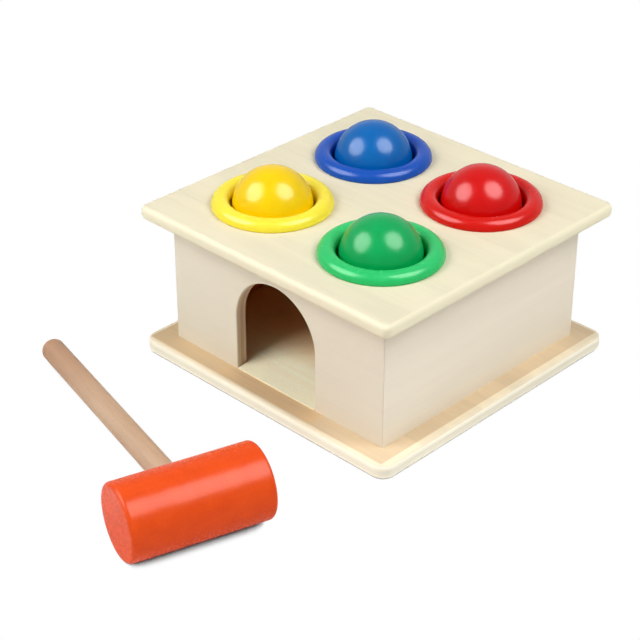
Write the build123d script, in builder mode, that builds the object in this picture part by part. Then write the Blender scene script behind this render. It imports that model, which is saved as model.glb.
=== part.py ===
from build123d import *
import os
from math import asin, atan2, cos, degrees, hypot, radians, sin, sqrt, tan

os.makedirs("parts", exist_ok=True)

# Ball pounding bench in millimetres. The base board's underside lies on Z = 0 with its
# centre at the origin, and the arched doorway faces -Y. Four balls sit in flexible
# collars in the top board, and a mallet lies on the floor beside the bench.

# Balls
ball_diameter = 45.0
ball_clearance = 0.25
ball_lift = 40.0

# Flexible collars: a bead on the board, a neck through it, a barb under it and a soft lip
collar_wall = 2.5
collar_ball_gap = 1.4
collar_hole_clearance = 0.2
bead_reach = 7.5
bead_crest_inset = 4.9
bead_height = 6.0
bead_foot_radius = 0.7
bead_inner_drop = 3.8
barb_reach = 1.1
barb_height = 1.7
barb_clearance = 0.15
barb_nose_share = 0.33
lip_bite = 1.8
lip_drop = 1.6

# Boards and walls
bead_spacing = 13.2
barb_wall_gap = 4.5
wall_thickness = 7.0
wall_height = 76.0
mitre_ease = 0.4
base_overhang = 14.25
base_thickness = 8.5
base_corner_radius = 8.0
base_edge_radius = 2.2
top_overhang = 13.5
top_thickness = 8.5
top_corner_radius = 5.0
top_edge_radius = 3.5

# Doorway in the front wall: straight jambs under a half-round arch
doorway_ball_gap = 7.5
lintel_height = 12.0
doorway_edge_radius = 0.8

# Ramp that rolls the balls out, and the wedges under its two sides
ramp_angle = 10.0
ramp_thickness = 4.0
ramp_front_lip = 0.8
ramp_side_gap = 0.5
wedge_thickness = 10.0
wedge_toe_height = 2.0

# Mallet
head_diameter = 41.2
head_length = 77.4
head_edge_radius = 2.2
handle_diameter = 12.8
handle_reach = 184.0
handle_tip_radius = 4.0
handle_root_chamfer = 1.0
handle_seat_depth = 27.0
handle_seat_clearance = 0.05
handle_end_clearance = 0.4
mallet_x = 54.2
mallet_standoff = 97.25
mallet_turn = 72.3
mallet_lift = 125.0

# Dowels between the walls and the top board
dowel_diameter = 4.0
dowel_wall_depth = 8.0
dowel_top_depth = 5.0
dowel_chamfer = 0.5
dowel_clearance = 0.05
dowel_end_clearance = 0.4

# Countersunk screws that hold the walls to the base board from beneath
screw_diameter = 3.0
screw_length = 22.0
screw_head_diameter = 6.0
screw_head_rim = 0.4
screw_head_setback = 0.3
screw_cone_angle = 45.0
screw_point_length = 3.0
screw_hole_clearance = 0.2
screw_pilot_clearance = 0.05
screw_end_clearance = 0.4
recess_width = 0.9
recess_span = 3.2
recess_depth = 1.3
recess_taper = 8.0

# Brads that pin the ramp to its wedges
brad_diameter = 1.2
brad_length = 10.0
brad_head_diameter = 2.4
brad_head_height = 0.6
brad_point_length = 1.6
brad_tip_diameter = 0.2
brad_clearance = 0.02
brad_run_shares = (0.45, 0.69, 0.93)

# One overrun serves every cut that has to pass right through a face
overrun = 1.0

# Radii of the collar, worked outwards and inwards from the ball
ball_radius = ball_diameter / 2
neck_inner = ball_radius + collar_ball_gap
neck_outer = neck_inner + collar_wall
neck_middle = (neck_inner + neck_outer) / 2
collar_hole_radius = neck_outer + collar_hole_clearance
bead_outer = neck_outer + bead_reach
crest_radius = neck_inner + bead_crest_inset
lip_round = collar_wall / 2
lip_centre_radius = ball_radius - lip_bite + lip_round

# Plan of the bench: the collars set the hole pitch, and the holes set the walls
hole_reach = bead_outer + bead_spacing / 2
inner_half = hole_reach + neck_outer + barb_reach + barb_wall_gap
half_wall = inner_half + wall_thickness
wall_middle = inner_half + wall_thickness / 2
base_side = 2 * (half_wall + base_overhang)
top_side = 2 * (half_wall + top_overhang)
arch_radius = ball_radius + doorway_ball_gap
pier_middle = (arch_radius + inner_half) / 2
side_turns = {"front": 0, "right": 90, "rear": 180, "left": 270}
hole_signs = {"blue": (-1, 1), "yellow": (-1, -1), "green": (1, -1), "red": (1, 1)}
hole_places = {
    colour: (x_sign * hole_reach, y_sign * hole_reach)
    for colour, (x_sign, y_sign) in hole_signs.items()
}
wall_places = [
    (place.X, place.Y)
    for turn in side_turns.values()
    for place in (
        Vector(-pier_middle, -wall_middle, 0).rotate(Axis.Z, turn),
        Vector(pier_middle, -wall_middle, 0).rotate(Axis.Z, turn),
    )
]

# Heights of the bench
wall_foot = base_thickness
top_underside = wall_foot + wall_height
top_surface = top_underside + top_thickness
arch_spring = top_underside - lintel_height - arch_radius


def upright_plane(x, y):
    """Upright plane through this place, with its X along +X and its Y along +Z."""
    return Plane(origin=(x, y, 0), x_dir=(1, 0, 0), z_dir=(0, -1, 0))


# The base board: rounded corners, eased edges and countersunk holes for the wall screws
screw_cone_height = (screw_head_diameter - screw_diameter) / 2 / tan(radians(screw_cone_angle))
screw_cone_foot = screw_head_setback + screw_head_rim
screw_cone_top = screw_cone_foot + screw_cone_height
screw_top = screw_head_setback + screw_length

with BuildPart() as base_board:
    with BuildSketch(Plane.XY):
        RectangleRounded(base_side, base_side, base_corner_radius)
    extrude(amount=base_thickness)
    rims = base_board.faces().filter_by(Axis.Z).edges()
    fillet(rims, radius=base_edge_radius)
    with BuildSketch(Plane.XY):
        with Locations(*wall_places):
            Circle(screw_diameter / 2 + screw_hole_clearance)
    extrude(amount=base_thickness, mode=Mode.SUBTRACT)
    with BuildSketch(Plane.XY):
        with Locations(*wall_places):
            Circle(screw_head_diameter / 2 + screw_hole_clearance)
    extrude(amount=screw_cone_foot, mode=Mode.SUBTRACT)
    with BuildSketch(Plane.XY.offset(screw_cone_foot)):
        with Locations(*wall_places):
            Circle(screw_head_diameter / 2 + screw_hole_clearance)
    extrude(amount=screw_cone_height, taper=screw_cone_angle, mode=Mode.SUBTRACT)
base_board.part.label = "base_board"
export_step(base_board.part, "parts/base_board.step")

# The top board: four holes for the collars and blind sockets for the dowels
with BuildPart() as top_board:
    with BuildSketch(Plane.XY.offset(top_underside)):
        RectangleRounded(top_side, top_side, top_corner_radius)
    extrude(amount=top_thickness)
    rims = top_board.faces().filter_by(Axis.Z).edges()
    fillet(rims, radius=top_edge_radius)
    with BuildSketch(Plane.XY.offset(top_underside)):
        with Locations(*hole_places.values()):
            Circle(collar_hole_radius)
    extrude(amount=top_thickness, mode=Mode.SUBTRACT)
    with BuildSketch(Plane.XY.offset(top_underside)):
        with Locations(*wall_places):
            Circle(dowel_diameter / 2 + dowel_clearance)
    extrude(amount=dowel_top_depth + dowel_end_clearance, mode=Mode.SUBTRACT)
top_board.part.label = "top_board"
export_step(top_board.part, "parts/top_board.step")

# The four walls: boards mitred at both ends, with sockets above and pilot holes below.
# The front wall has the doorway.
for side, turn in side_turns.items():
    with BuildPart() as panel:
        with BuildSketch(Plane.XY.offset(wall_foot).rotated((0, 0, turn))):
            with BuildLine():
                Polyline(
                    (-half_wall, -half_wall),
                    (half_wall, -half_wall),
                    (inner_half, -inner_half),
                    (-inner_half, -inner_half),
                    close=True,
                )
            make_face()
        extrude(amount=wall_height)
        tips = panel.edges().filter_by(Axis.Z).sort_by_distance((0, 0, wall_foot))[-2:]
        chamfer(tips, length=mitre_ease)
        with BuildSketch(Plane.XY.offset(top_underside)):
            with Locations(*wall_places):
                Circle(dowel_diameter / 2 + dowel_clearance)
        extrude(amount=-(dowel_wall_depth + dowel_end_clearance), mode=Mode.SUBTRACT)
        with BuildSketch(Plane.XY.offset(wall_foot)):
            with Locations(*wall_places):
                Circle(screw_diameter / 2 + screw_pilot_clearance)
        extrude(amount=screw_top - wall_foot + screw_end_clearance, mode=Mode.SUBTRACT)
        if side == "front":
            with BuildSketch(Plane.XZ.offset(half_wall)):
                with BuildLine():
                    arch = CenterArc((0, arch_spring), arch_radius, 0, 180)
                    Polyline(
                        arch @ 1,
                        (-arch_radius, wall_foot - overrun),
                        (arch_radius, wall_foot - overrun),
                        arch @ 0,
                    )
                make_face()
            extrude(amount=-wall_thickness, mode=Mode.SUBTRACT)
            outer_face = panel.faces().filter_by(Axis.Y).sort_by(Axis.Y)[0]
            arch_edges = outer_face.edges().filter_by(GeomType.CIRCLE)
            upright_edges = outer_face.edges().filter_by(Axis.Z)
            jamb_edges = upright_edges.sort_by_distance((0, -half_wall, wall_foot))[:2]
            fillet(arch_edges + jamb_edges, radius=doorway_edge_radius)
    panel.part.label = f"{side}_panel"
    export_step(panel.part, f"parts/{side}_panel.step")

# The ramp: a sloping board whose tongue runs out through the doorway to the wall's face
slope = tan(radians(ramp_angle))
ramp_plumb_thickness = ramp_thickness / cos(radians(ramp_angle))
ramp_front = -half_wall
ramp_rear = inner_half - ramp_side_gap
ramp_shoulder = -inner_half + ramp_side_gap


def ramp_top_at(y):
    """Height of the ramp's upper face at this Y."""
    return base_thickness + ramp_front_lip + slope * (y - ramp_front)


ramp_rear_top = ramp_top_at(ramp_rear)
ramp_rear_underside = ramp_rear_top - ramp_plumb_thickness
ramp_landing = ramp_front + (ramp_plumb_thickness - ramp_front_lip) / slope
notch_width = half_wall - arch_radius + ramp_side_gap
notch_depth = ramp_shoulder - ramp_front
notch_places = [
    (x_sign * (half_wall - notch_width / 2), ramp_front + notch_depth / 2) for x_sign in (-1, 1)
]
wedge_middle = inner_half - wedge_thickness / 2
brad_ys = [ramp_front + share * (ramp_rear - ramp_front) for share in brad_run_shares]
brad_planes = [
    Plane(
        origin=(x_sign * wedge_middle, y, ramp_top_at(y)),
        x_dir=(1, 0, 0),
        z_dir=(0, -sin(radians(ramp_angle)), cos(radians(ramp_angle))),
    )
    for x_sign in (-1, 1)
    for y in brad_ys
]

with BuildPart() as ramp_board:
    with BuildSketch(Plane.YZ):
        with BuildLine():
            Polyline(
                (ramp_front, base_thickness),
                (ramp_front, base_thickness + ramp_front_lip),
                (ramp_rear, ramp_rear_top),
                (ramp_rear, ramp_rear_underside),
                (ramp_landing, base_thickness),
                close=True,
            )
        make_face()
    extrude(amount=inner_half - ramp_side_gap, both=True)
    with BuildSketch(Plane.XY.offset(base_thickness)):
        with Locations(*notch_places):
            Rectangle(notch_width, notch_depth)
    extrude(amount=wall_height, mode=Mode.SUBTRACT)
    for plane in brad_planes:
        with BuildSketch(plane):
            Circle(brad_head_diameter / 2 + brad_clearance)
        extrude(amount=-(brad_head_height + brad_clearance), mode=Mode.SUBTRACT)
        with BuildSketch(plane):
            Circle(brad_diameter / 2 + brad_clearance)
        extrude(amount=-brad_length, mode=Mode.SUBTRACT)
ramp_board.part.label = "ramp_board"
export_step(ramp_board.part, "parts/ramp_board.step")

# The wedges that carry the ramp along the left and right walls
wedge_toe = ramp_landing + wedge_toe_height / slope

for side, start in (("left", -inner_half), ("right", inner_half - wedge_thickness)):
    with BuildPart() as wedge:
        with BuildSketch(Plane.YZ.offset(start)):
            with BuildLine():
                Polyline(
                    (wedge_toe, base_thickness),
                    (wedge_toe, base_thickness + wedge_toe_height),
                    (ramp_rear, ramp_rear_underside),
                    (ramp_rear, base_thickness),
                    close=True,
                )
            make_face()
        extrude(amount=wedge_thickness)
        for plane in brad_planes:
            with BuildSketch(plane):
                Circle(brad_diameter / 2 + brad_clearance)
            extrude(amount=-(brad_length + brad_clearance), mode=Mode.SUBTRACT)
    wedge.part.label = f"ramp_wedge_{side}"
    export_step(wedge.part, f"parts/ramp_wedge_{side}.step")

# The brads: flat heads flush with the ramp, shanks square to it
brad_shank_length = brad_length - brad_point_length
brad_point_taper = degrees(atan2((brad_diameter - brad_tip_diameter) / 2, brad_point_length))

with BuildPart() as ramp_brads:
    for plane in brad_planes:
        with BuildSketch(plane):
            Circle(brad_head_diameter / 2)
        extrude(amount=-brad_head_height)
        with BuildSketch(plane):
            Circle(brad_diameter / 2)
        extrude(amount=-brad_shank_length)
        with BuildSketch(plane.offset(-brad_shank_length)):
            Circle(brad_diameter / 2)
        extrude(amount=-brad_point_length, taper=brad_point_taper)
ramp_brads.part.label = "ramp_brads"
export_step(ramp_brads.part, "parts/ramp_brads.step")

# The dowels: short pegs with eased ends, half in the walls and half in the top board
with BuildPart() as top_dowels:
    with BuildSketch(Plane.XY.offset(top_underside - dowel_wall_depth)):
        with Locations(*wall_places):
            Circle(dowel_diameter / 2)
    extrude(amount=dowel_wall_depth + dowel_top_depth)
    chamfer(top_dowels.faces().filter_by(Axis.Z).edges(), length=dowel_chamfer)
top_dowels.part.label = "top_dowels"
export_step(top_dowels.part, "parts/top_dowels.step")

# The screws: countersunk heads with a cross recess, just below the base board's face
with BuildPart() as base_screws:
    for x, y in wall_places:
        with BuildSketch(upright_plane(x, y)):
            with BuildLine():
                Polyline(
                    (0, screw_head_setback),
                    (screw_head_diameter / 2, screw_head_setback),
                    (screw_head_diameter / 2, screw_cone_foot),
                    (screw_diameter / 2, screw_cone_top),
                    (screw_diameter / 2, screw_top - screw_point_length),
                    (0, screw_top),
                    close=True,
                )
            make_face()
        revolve(axis=Axis((x, y, 0), (0, 0, 1)))
    with BuildSketch(Plane.XY.offset(screw_head_setback)):
        with Locations(*wall_places):
            Rectangle(recess_span, recess_width)
            Rectangle(recess_width, recess_span)
    extrude(amount=recess_depth, taper=recess_taper, mode=Mode.SUBTRACT)
base_screws.part.label = "base_screws"
export_step(base_screws.part, "parts/base_screws.step")

# The collars: one moulded section turned about each hole. A half-round bead lies on the
# board, the neck passes through the hole, the barb grips the board's underside, and the
# web bends in to a round lip that is narrower than the ball.
lip_height = top_underside - lip_drop
web_bend_radius = neck_middle - lip_centre_radius
web_start_height = lip_height + web_bend_radius
bead_foot_top = top_surface + bead_foot_radius
barb_top = top_underside - barb_clearance
barb_foot = barb_top - barb_height

for colour, (x, y) in hole_places.items():
    with BuildPart() as collar:
        with BuildSketch(upright_plane(x, y)):
            with BuildLine():
                Line((neck_inner, top_surface), (bead_outer - bead_foot_radius, top_surface))
                RadiusArc(
                    (bead_outer - bead_foot_radius, top_surface),
                    (bead_outer, bead_foot_top),
                    -bead_foot_radius,
                )
                EllipticalCenterArc(
                    (crest_radius, bead_foot_top),
                    bead_outer - crest_radius,
                    bead_height - bead_foot_radius,
                    start_angle=0,
                    arc_size=90,
                )
                inner_rim = EllipticalCenterArc(
                    (crest_radius, top_surface + bead_height - bead_inner_drop),
                    crest_radius - neck_inner,
                    bead_inner_drop,
                    start_angle=90,
                    arc_size=90,
                )
                Line(inner_rim @ 1, (neck_inner, top_surface))
            make_face()
            with BuildLine():
                Polyline(
                    (neck_inner, web_start_height),
                    (neck_inner, barb_foot),
                    (neck_outer, barb_foot),
                    (neck_outer + barb_reach, barb_top - barb_nose_share * barb_height),
                    (neck_outer + barb_reach, barb_top),
                    (neck_outer, barb_top),
                    (neck_outer, bead_foot_top),
                    (neck_inner, bead_foot_top),
                    close=True,
                )
            make_face()
            with BuildLine():
                RadiusArc(
                    (neck_middle, web_start_height),
                    (lip_centre_radius, lip_height),
                    web_bend_radius,
                )
            trace(line_width=collar_wall)
            with Locations((lip_centre_radius, lip_height)):
                Circle(lip_round)
        revolve(axis=Axis((x, y, 0), (0, 0, 1)))
    collar.part.label = f"collar_{colour}"
    export_step(collar.part, f"parts/collar_{colour}.step")

# The balls: each rests on its collar's lip, its middle about level with the top board
ball_to_lip = ball_radius + lip_round + ball_clearance
ball_height = lip_height + sqrt(ball_to_lip**2 - lip_centre_radius**2)

for colour, (x, y) in hole_places.items():
    with BuildPart() as ball:
        with Locations((x, y, ball_height)):
            Sphere(ball_radius)
    ball.part.label = f"ball_{colour}"
    export_step(ball.part, f"parts/ball_{colour}.step")
    landed_height = ramp_top_at(y) + (ball_radius + ball_clearance) / cos(radians(ramp_angle))
    print(f"ball_{colour} slides {landed_height - ball_height:.2f} to {ball_lift:.2f} mm")

# The mallet lies on the floor: the head on its side and the tip of the handle touching
head_radius = head_diameter / 2
handle_radius = handle_diameter / 2
tip_along = handle_reach - handle_tip_radius
tip_across = handle_radius - handle_tip_radius
tilt = asin((head_radius - handle_tip_radius) / hypot(tip_along, tip_across)) - atan2(
    tip_across, tip_along
)
head_axis = (cos(radians(mallet_turn)), sin(radians(mallet_turn)), 0)
handle_axis = (-head_axis[1] * cos(tilt), head_axis[0] * cos(tilt), -sin(tilt))
mallet_centre = (mallet_x, -base_side / 2 - mallet_standoff, head_radius)
head_plane = Plane(origin=mallet_centre, z_dir=head_axis)
handle_plane = Plane(origin=mallet_centre, x_dir=head_axis, z_dir=handle_axis)
seat_bottom = head_radius - handle_seat_depth
handle_root = seat_bottom + handle_end_clearance

with BuildPart() as mallet_head:
    with BuildSketch(head_plane):
        Circle(head_radius)
    extrude(amount=head_length / 2, both=True)
    fillet(mallet_head.edges().filter_by(GeomType.CIRCLE), radius=head_edge_radius)
    with BuildSketch(handle_plane.offset(seat_bottom)):
        Circle(handle_radius + handle_seat_clearance)
    extrude(amount=handle_seat_depth + overrun, mode=Mode.SUBTRACT)
mallet_head.part.label = "mallet_head"
export_step(mallet_head.part, "parts/mallet_head.step")

with BuildPart() as mallet_handle:
    with BuildSketch(handle_plane.offset(handle_root)):
        Circle(handle_radius)
    extrude(amount=handle_reach - handle_root)
    root = mallet_handle.edges().filter_by(GeomType.CIRCLE).sort_by_distance(mallet_centre)[0]
    chamfer(root, length=handle_root_chamfer)
    tip = mallet_handle.edges().filter_by(GeomType.CIRCLE).sort_by_distance(mallet_centre)[-1]
    fillet(tip, radius=handle_tip_radius)
mallet_handle.part.label = "mallet_handle"
export_step(mallet_handle.part, "parts/mallet_handle.step")
print(f"mallet slides 0.00 to {mallet_lift:.2f} mm")
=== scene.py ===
"""Ball pounding bench: finishes and seen pieces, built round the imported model.

Lengths are in metres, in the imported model's own frame: the bench stands on Z = 0 round
the origin, and its arched doorway faces -Y. The ramp, its wedges and the hidden fasteners
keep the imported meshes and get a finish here. Boards, walls, collars, balls and the mallet
are modelled again with rounder edges and finer curves, in the places that the model gives.
"""

import logging
import math
from collections.abc import Callable, Iterable
from dataclasses import dataclass, field
from enum import Enum
from functools import cached_property

import bmesh
import bpy
from mathutils import Euler, Matrix, Vector, noise


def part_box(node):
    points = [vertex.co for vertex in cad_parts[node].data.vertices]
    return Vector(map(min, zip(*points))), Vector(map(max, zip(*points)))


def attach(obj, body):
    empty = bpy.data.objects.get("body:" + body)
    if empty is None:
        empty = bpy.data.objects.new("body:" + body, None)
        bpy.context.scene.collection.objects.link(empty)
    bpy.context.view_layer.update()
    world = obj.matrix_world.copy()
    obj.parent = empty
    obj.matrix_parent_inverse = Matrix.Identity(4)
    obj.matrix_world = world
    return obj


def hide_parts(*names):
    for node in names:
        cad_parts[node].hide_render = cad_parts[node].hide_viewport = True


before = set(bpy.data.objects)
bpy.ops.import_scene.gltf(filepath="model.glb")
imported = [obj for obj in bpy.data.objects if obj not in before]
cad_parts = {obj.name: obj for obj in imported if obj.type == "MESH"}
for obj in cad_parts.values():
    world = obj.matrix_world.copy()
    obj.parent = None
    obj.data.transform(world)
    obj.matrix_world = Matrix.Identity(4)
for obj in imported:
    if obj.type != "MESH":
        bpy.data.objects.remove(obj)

LOG = logging.getLogger("bench")
MM = 0.001
NEAR = 0.01 * MM
MERGED = NEAR / 10
ALL_SMOOTH = 180.0
BENCH = "bench"
MALLET = "mallet"
COLLAR_NECK = 26.4 * MM

Colour = tuple[float, float, float]
Span = tuple[float, float]
Ease = tuple[float, float, float, float]
Socket = bpy.types.NodeSocket
Material = bpy.types.Material
Shape = bmesh.types.BMesh


def shade(red: int, green: int, blue: int) -> Colour:
    """Turns a colour on the 0 to 255 screen scale into the linear one that shaders use.

    Args:
        red: Red level on the screen.
        green: Green level on the screen.
        blue: Blue level on the screen.

    Returns:
        The linear colour.
    """
    levels = (level / 255 for level in (red, green, blue))
    return tuple(v / 12.92 if v <= 0.04045 else ((v + 0.055) / 1.055) ** 2.4 for v in levels)


def darker(colour: Colour, share: float) -> Colour:
    """Returns a colour with this share of its light left."""
    return tuple(level * share for level in colour)


# Deep red-brown of the walls' inner faces and the ceiling: raw wood darkened into painted shade of
# the box's inside.
RAW_WOOD_PAINTED_SHADE = shade(206, 118, 58)
WHITE = (1.0, 1.0, 1.0)


class Direction(Enum):
    """An axis of the model's frame, by its index in a vector."""

    X = 0
    Y = 1
    Z = 2


class Paint(Enum):
    """The four colours of the balls and collars."""

    BLUE = "blue"
    YELLOW = "yellow"
    GREEN = "green"
    RED = "red"


class Side(Enum):
    """The four walls, by how far each is turned from the front one, in degrees."""

    FRONT = 0
    RIGHT = 90
    REAR = 180
    LEFT = 270


class NodeSheet:
    """The node tree of a material or a world, with short calls for the nodes in it."""

    def __init__(self, owner: Material | bpy.types.World) -> None:
        """Empties the tree.

        Args:
            owner: The material or world that has the tree.
        """
        self.owner = owner
        owner.use_nodes = True
        self.tree = owner.node_tree
        self.tree.nodes.clear()

    @cached_property
    def place(self) -> Socket:
        """The place on the object, in its own frame, in metres."""
        return self.tree.nodes.new("ShaderNodeTexCoord").outputs["Object"]

    def feed(self, socket: Socket, value: object) -> None:
        """Links a socket to another one, or sets it to a plain value.

        Args:
            socket: The input to fill.
            value: A socket, a number, a vector or a colour.
        """
        if isinstance(value, Socket):
            self.tree.links.new(value, socket)
        elif socket.type == "RGBA":
            socket.default_value = (*value, 1.0)
        else:
            socket.default_value = value

    def node(self, kind: str, inputs: dict, **settings: object) -> bpy.types.Node:
        """Adds a node.

        Args:
            kind: The node's type, without its ShaderNode prefix.
            inputs: What each input takes, by the input's name or index.
            **settings: The node's own properties.

        Returns:
            The new node.
        """
        made = self.tree.nodes.new("ShaderNode" + kind)
        for key, value in settings.items():
            setattr(made, key, value)
        for key, value in inputs.items():
            self.feed(made.inputs[key], value)
        return made

    def math(self, operation: str, *values: object, clamp: bool = False) -> Socket:
        """Adds a Math node and returns its result."""
        inputs = dict(enumerate(values))
        return self.node("Math", inputs, operation=operation, use_clamp=clamp).outputs[0]

    def along(self, direction: Direction) -> Socket:
        """Returns the place along one axis, in metres."""
        return self.node("SeparateXYZ", {0: self.place}).outputs[direction.value]

    def rise(
        self, value: object, start: float, end: float, low: float = 0.0, high: float = 1.0
    ) -> Socket:
        """Eases from one level to another while a value goes from start to end.

        Args:
            value: The value that is read.
            start: Where the rise starts.
            end: Where the rise ends.
            low: Result at the start.
            high: Result at the end.

        Returns:
            The eased result.
        """
        inputs = {0: value, 1: start, 2: end, 3: low, 4: high}
        return self.node("MapRange", inputs, interpolation_type="SMOOTHSTEP").outputs[0]

    def blend(self, share: object, first: object, second: object) -> Socket:
        """Mixes two colours.

        Args:
            share: How much of the second colour shows, from 0 to 1.
            first: The first colour.
            second: The second colour.

        Returns:
            The mixed colour.
        """
        mixer = self.node("Mix", {}, data_type="RGBA")
        self.feed(mixer.inputs[0], share)
        self.feed(mixer.inputs[6], first)
        self.feed(mixer.inputs[7], second)
        return mixer.outputs[2]

    def relief(self, layers: Iterable[tuple[object, float]]) -> Socket:
        """Stacks bumps into one normal.

        Args:
            layers: Pairs of a height from 0 to 1 and its real depth in metres.

        Returns:
            The normal to give to a shader.
        """
        normal = None
        for height, depth in layers:
            inputs = {"Height": height, "Distance": depth, "Strength": 1.0}
            if normal is not None:
                inputs["Normal"] = normal
            normal = self.node("Bump", inputs).outputs[0]
        return normal

    def finish(
        self, colour: object, rough: object, normal: object, **constants: float
    ) -> Material:
        """Adds the surface shader.

        Args:
            colour: Base colour.
            rough: Roughness.
            normal: Normal from relief().
            **constants: Other inputs of the shader, with underscores for spaces.

        Returns:
            The finished material.
        """
        inputs = {"Base Color": colour, "Roughness": rough, "Normal": normal}
        inputs.update({key.replace("_", " "): value for key, value in constants.items()})
        shader = self.node("BsdfPrincipled", inputs)
        output = self.node("OutputMaterial", {"Surface": shader.outputs[0]})
        output.is_active_output = True
        return self.owner


@dataclass(frozen=True)
class Marks:
    """A noise of marks with a real size, such as grain, flecks, mottle or scuffs."""

    length: float
    width: float
    detail: float
    bend: float = 0.0

    def over(
        self,
        sheet: NodeSheet,
        direction: Direction = Direction.Z,
        origin: Vector = Vector(),
        turn: Euler = Euler(),
    ) -> Socket:
        """Lays the marks over a surface.

        Args:
            sheet: The material's node tree.
            direction: The axis that they are long on.
            origin: Where the pattern is centred.
            turn: How the pattern is turned.

        Returns:
            The noise, from 0 to 1 about 0.5.
        """
        size = Vector((self.width, self.width, self.width))
        size[direction.value] = self.length
        inputs = {"Vector": sheet.place, "Location": origin, "Rotation": turn, "Scale": size}
        cells = sheet.node("Mapping", inputs, vector_type="TEXTURE").outputs[0]
        inputs = {"Vector": cells, "Scale": 1.0, "Detail": self.detail, "Distortion": self.bend}
        return sheet.node("TexNoise", inputs).outputs["Fac"]


@dataclass(frozen=True)
class Patch:
    """A part of a flat board's face, or all but that part, where the wood has another colour or
    carries painted shade.
    """

    colour: Colour
    low: Span
    high: Span
    fade: float
    streaky: float = 0.0
    is_upper: bool = True
    is_outside: bool = False
    streaks: Marks = Marks(24 * MM, 1.5 * MM, 3.0, 0.4)
    streak_span: Span = (0.32, 0.62)

    def share(self, sheet: NodeSheet) -> Socket:
        """Returns how much of the patch shows at each place.

        Args:
            sheet: The material's node tree.

        Returns:
            A share from 0 to 1.
        """
        shown = 1.0
        for direction, low, high in zip((Direction.X, Direction.Y), self.low, self.high):
            at = sheet.along(direction)
            shown = sheet.math("MULTIPLY", shown, sheet.rise(at, low, low + self.fade))
            shown = sheet.math("MULTIPLY", shown, sheet.rise(at, high - self.fade, high, 1.0, 0.0))
        if self.is_outside:
            shown = sheet.math("SUBTRACT", 1.0, shown)
        streaks = self.streaks.over(sheet, Direction.X)
        held = sheet.rise(streaks, *self.streak_span, 1.0 - self.streaky, 1.0)
        return sheet.math("MULTIPLY", shown, held)


@dataclass(frozen=True)
class PlywoodFinish:
    """Sanded plywood: face veneers over cross-laid plies that show at every edge."""

    name: str
    thickness: Direction
    grain: Direction
    low: float
    high: float
    low_face: Colour
    high_face: Colour
    ply: Colour
    glue: Colour
    glue_strength: float
    patches: tuple[Patch, ...] = ()
    figure: float = 0.9
    cross_share: float = 0.93
    low_veneer: float = 0.7 * MM
    high_veneer: float = 0.7 * MM
    plies: int = 3
    fibres: Marks = Marks(30 * MM, 0.5 * MM, 4.0)
    bands: Marks = Marks(190 * MM, 16 * MM, 2.0, 0.6)
    glue_share: float = 0.06
    fibre_depth: float = 0.014 * MM
    ply_depth: float = 0.03 * MM
    band_tone: Ease = (0.3, 0.72, 0.0, 0.6)
    fibre_tone: Ease = (0.4, 0.75, 0.0, 0.4)
    long_tone: Ease = (0.35, 0.7, 0.0, 0.5)
    cross_tone: Ease = (0.35, 0.65, 0.2, 1.0)
    rough: Ease = (0.3, 0.7, 0.42, 0.55)
    sheen: float = 0.12

    def material(self) -> Material:
        """Returns the finished material."""
        sheet = NodeSheet(bpy.data.materials.new(self.name))
        across = next(d for d in Direction if d not in (self.thickness, self.grain))
        fibres = self.fibres.over(sheet, self.grain)
        cross_fibres = self.fibres.over(sheet, across)
        bands = self.bands.over(sheet, self.grain)

        level = sheet.math("SUBTRACT", sheet.along(self.thickness), self.low + self.low_veneer)
        core = self.high - self.low - self.low_veneer - self.high_veneer
        stack = sheet.math("MULTIPLY", level, self.plies / core)
        is_low = sheet.math("LESS_THAN", stack, 0.0)
        is_high = sheet.math("GREATER_THAN", stack, float(self.plies))
        is_face = sheet.math("ADD", is_low, is_high, clamp=True)
        turn = sheet.math("PINGPONG", sheet.math("ADD", stack, 0.5), 1.0)
        is_cross = sheet.math("LESS_THAN", turn, 0.5)
        held = sheet.math("MINIMUM", sheet.math("MAXIMUM", stack, 0.0), float(self.plies))
        nearest = sheet.math("ROUND", held)
        from_glue = sheet.math("ABSOLUTE", sheet.math("SUBTRACT", stack, nearest))
        glue_line = sheet.rise(from_glue, 0.0, self.glue_share, self.glue_strength, 0.0)

        band_tone = sheet.rise(bands, *self.band_tone)
        tone = sheet.math("ADD", band_tone, sheet.rise(fibres, *self.fibre_tone))
        face = sheet.blend(is_high, self.low_face, self.high_face)
        for patch in self.patches:
            on_face = is_high if patch.is_upper else is_low
            share = sheet.math("MULTIPLY", on_face, patch.share(sheet))
            face = sheet.blend(share, face, patch.colour)
        figure = sheet.rise(tone, 0.0, 1.0, 1.0, self.figure)
        scaled = sheet.node("VectorMath", {0: face, "Scale": figure}, operation="SCALE")
        cross_ply = darker(self.ply, self.cross_share)
        deep_ply = darker(cross_ply, self.cross_share)
        long_ply = sheet.blend(sheet.rise(fibres, *self.long_tone), self.ply, cross_ply)
        end_ply = sheet.blend(sheet.rise(cross_fibres, *self.cross_tone), cross_ply, deep_ply)
        edge = sheet.blend(glue_line, sheet.blend(is_cross, long_ply, end_ply), self.glue)
        colour = sheet.blend(is_face, edge, scaled.outputs[0])
        rough = sheet.rise(fibres, *self.rough)
        groove = sheet.math("SUBTRACT", 1.0, sheet.math("MAXIMUM", glue_line, is_cross))
        normal = sheet.relief([(fibres, self.fibre_depth), (groove, self.ply_depth)])
        return sheet.finish(colour, rough, normal, Specular_IOR_Level=self.sheen)


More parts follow.
